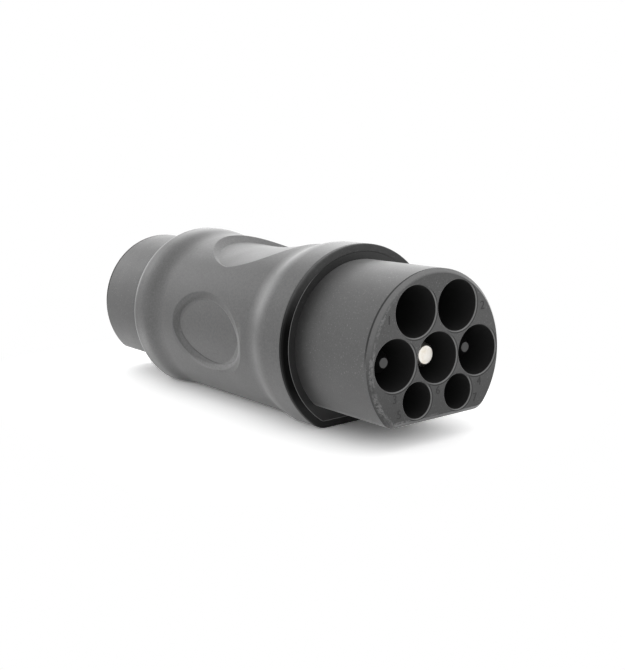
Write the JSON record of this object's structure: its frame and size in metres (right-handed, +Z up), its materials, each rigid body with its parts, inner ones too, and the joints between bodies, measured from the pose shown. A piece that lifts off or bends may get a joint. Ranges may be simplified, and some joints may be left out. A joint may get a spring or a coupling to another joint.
{
  "type": "electric vehicle charging adapter",
  "caption": "Hand-held vehicle charging adapter: a waisted grip shell with a D-shaped plug nose of round contact cavities at each end.",
  "frame": {"origin": "middle of the adapter's box, on the surface that its flat underside lies on", "axes": "+X along the adapter towards the front nose, +Z up, +Y to the left when seen from the front nose's back"},
  "size_m": [0.1404, 0.0524, 0.0482],
  "materials": {
    "grip_grey": "soft-touch moulded, fine grain",
    "ring_black": "satin black",
    "nose_grey": "spark-eroded moulded texture",
    "inner_black": "plain moulded",
    "tip_grey": "smooth moulded",
    "contact_metal": "silver-plated",
    "steel": "zinc-plated",
    "seal_rubber": "smooth",
    "lead_green_yellow": "insulation",
    "lead_brown": "insulation",
    "lead_blue": "insulation",
    "lead_white": "insulation",
    "board_green": "solder mask",
    "resistor_dark": "ceramic chip"
  },
  "bodies": {
    "root": {"outer_shell": "grip_grey", "front_trim_ring": "ring_black", "inner_barrel": "inner_black", "pe_lead": "lead_green_yellow", "l1_lead": "lead_brown", "n_lead": "lead_blue", "cp_lead": "lead_white", "pp_lead": "lead_white", "cc_lead": "lead_white", "coding_board": "board_green", "coding_resistors": "resistor_dark", "coding_terminals": "contact_metal", "front_nose": "nose_grey", "front_seal": "seal_rubber", "front_retainer": "inner_black", "front_retainer_screws": "steel", "front_pe_pin": "contact_metal", "front_l1_pin": "contact_metal", "front_n_pin": "contact_metal", "front_cp_pin": "contact_metal", "front_pp_pin": "contact_metal", "front_l1_tip": "tip_grey", "front_n_tip": "tip_grey", "rear_nose": "nose_grey", "rear_seal": "seal_rubber", "rear_retainer": "inner_black", "rear_retainer_screws": "steel", "rear_pe_pin": "contact_metal", "rear_l1_pin": "contact_metal", "rear_n_pin": "contact_metal", "rear_cp_pin": "contact_metal", "rear_cc_pin": "contact_metal", "rear_l1_tip": "tip_grey", "rear_n_tip": "tip_grey"}
  },
  "joints": []
}
